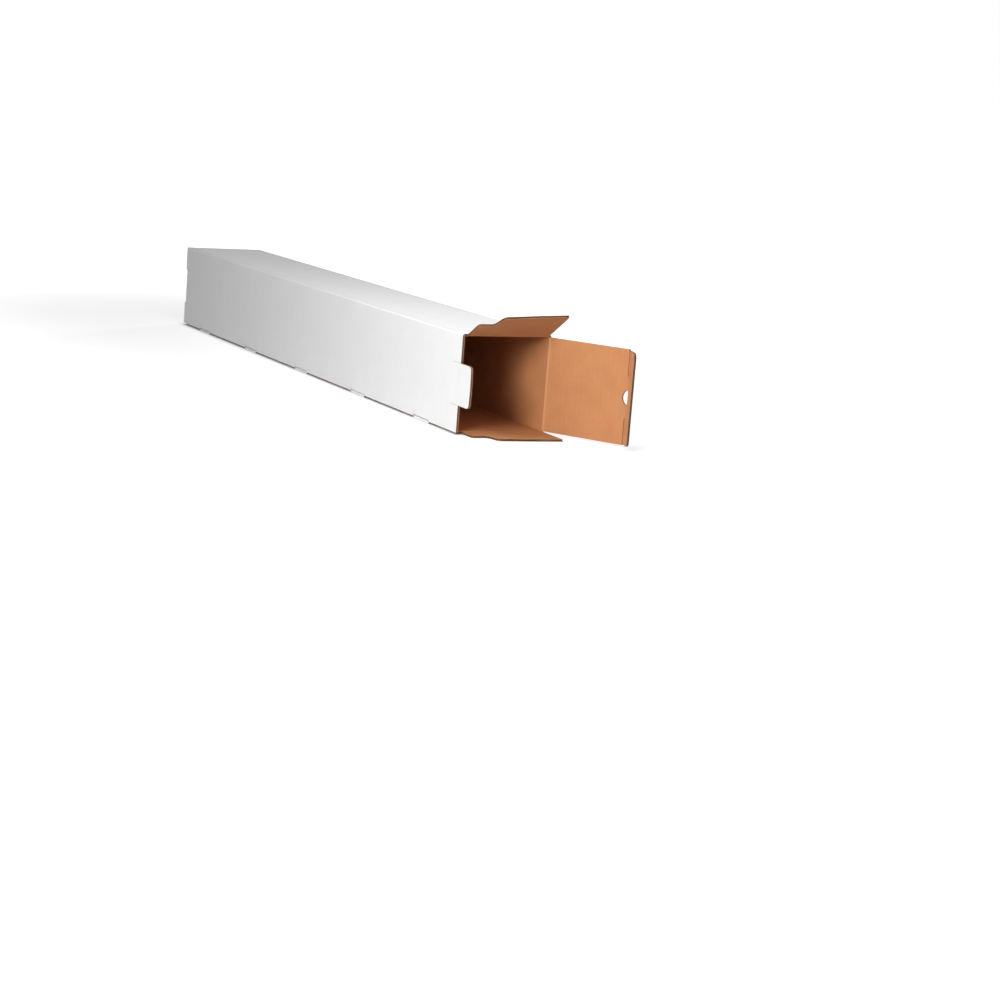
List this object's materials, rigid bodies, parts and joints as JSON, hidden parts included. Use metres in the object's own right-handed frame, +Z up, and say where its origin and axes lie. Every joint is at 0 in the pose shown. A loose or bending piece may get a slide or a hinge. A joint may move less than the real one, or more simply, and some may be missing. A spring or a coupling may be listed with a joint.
{
  "type": "square cardboard mailing tube",
  "caption": "Long square mailing tube folded from white-faced corrugated board, with an open hinged end lid, tuck and dust flaps and a lock tongue.",
  "frame": {"origin": "centre of the underside of the bottom wall", "axes": "+X across the tube towards the lid's hinge, +Y along the tube from the open mouth to the closed end, +Z up"},
  "size_m": [0.1598, 0.9671, 0.1343],
  "materials": {
    "white_faced_board": "matt white outer liner, brown kraft inner liner, raw fluted edges"
  },
  "bodies": {
    "tube": {"tube_body": "white_faced_board"},
    "lid": {"near_lid": "white_faced_board"},
    "tuck_flap": {"near_tuck_flap": "white_faced_board"},
    "top_dust_flap": {"near_top_dust_flap": "white_faced_board"},
    "bottom_dust_flap": {"near_bottom_dust_flap": "white_faced_board"},
    "lock_tongue": {"near_lock_tongue": "white_faced_board"}
  },
  "joints": [
    {"name": "lid_crease", "type": "hinge", "parent": "tube", "child": "lid", "pos_m": [0.05275, -0.42875, 0.054], "axis": [0, 0, 1], "range_deg": [-120, 55]},
    {"name": "tuck_crease", "type": "hinge", "parent": "lid", "child": "tuck_flap", "pos_m": [0.10315, -0.51604, 0.054], "axis": [0, 0, 1], "range_deg": [-48, 22]},
    {"name": "top_flap_crease", "type": "hinge", "parent": "tube", "child": "top_dust_flap", "pos_m": [0, -0.42595, 0.10675], "axis": [1, 0, 0], "range_deg": [-45, 127]},
    {"name": "bottom_flap_crease", "type": "hinge", "parent": "tube", "child": "bottom_dust_flap", "pos_m": [0, -0.42595, 0.00125], "axis": [-1, 0, 0], "range_deg": [0, 96]},
    {"name": "tongue_crease", "type": "hinge", "parent": "tube", "child": "lock_tongue", "pos_m": [-0.05275, -0.42595, 0.054], "axis": [0, 0, 1], "range_deg": [0, 90]}
  ],
  "couplings": [
    {"joint": "tuck_crease", "follows": "lid_crease", "ratio": 0.4}
  ]
}
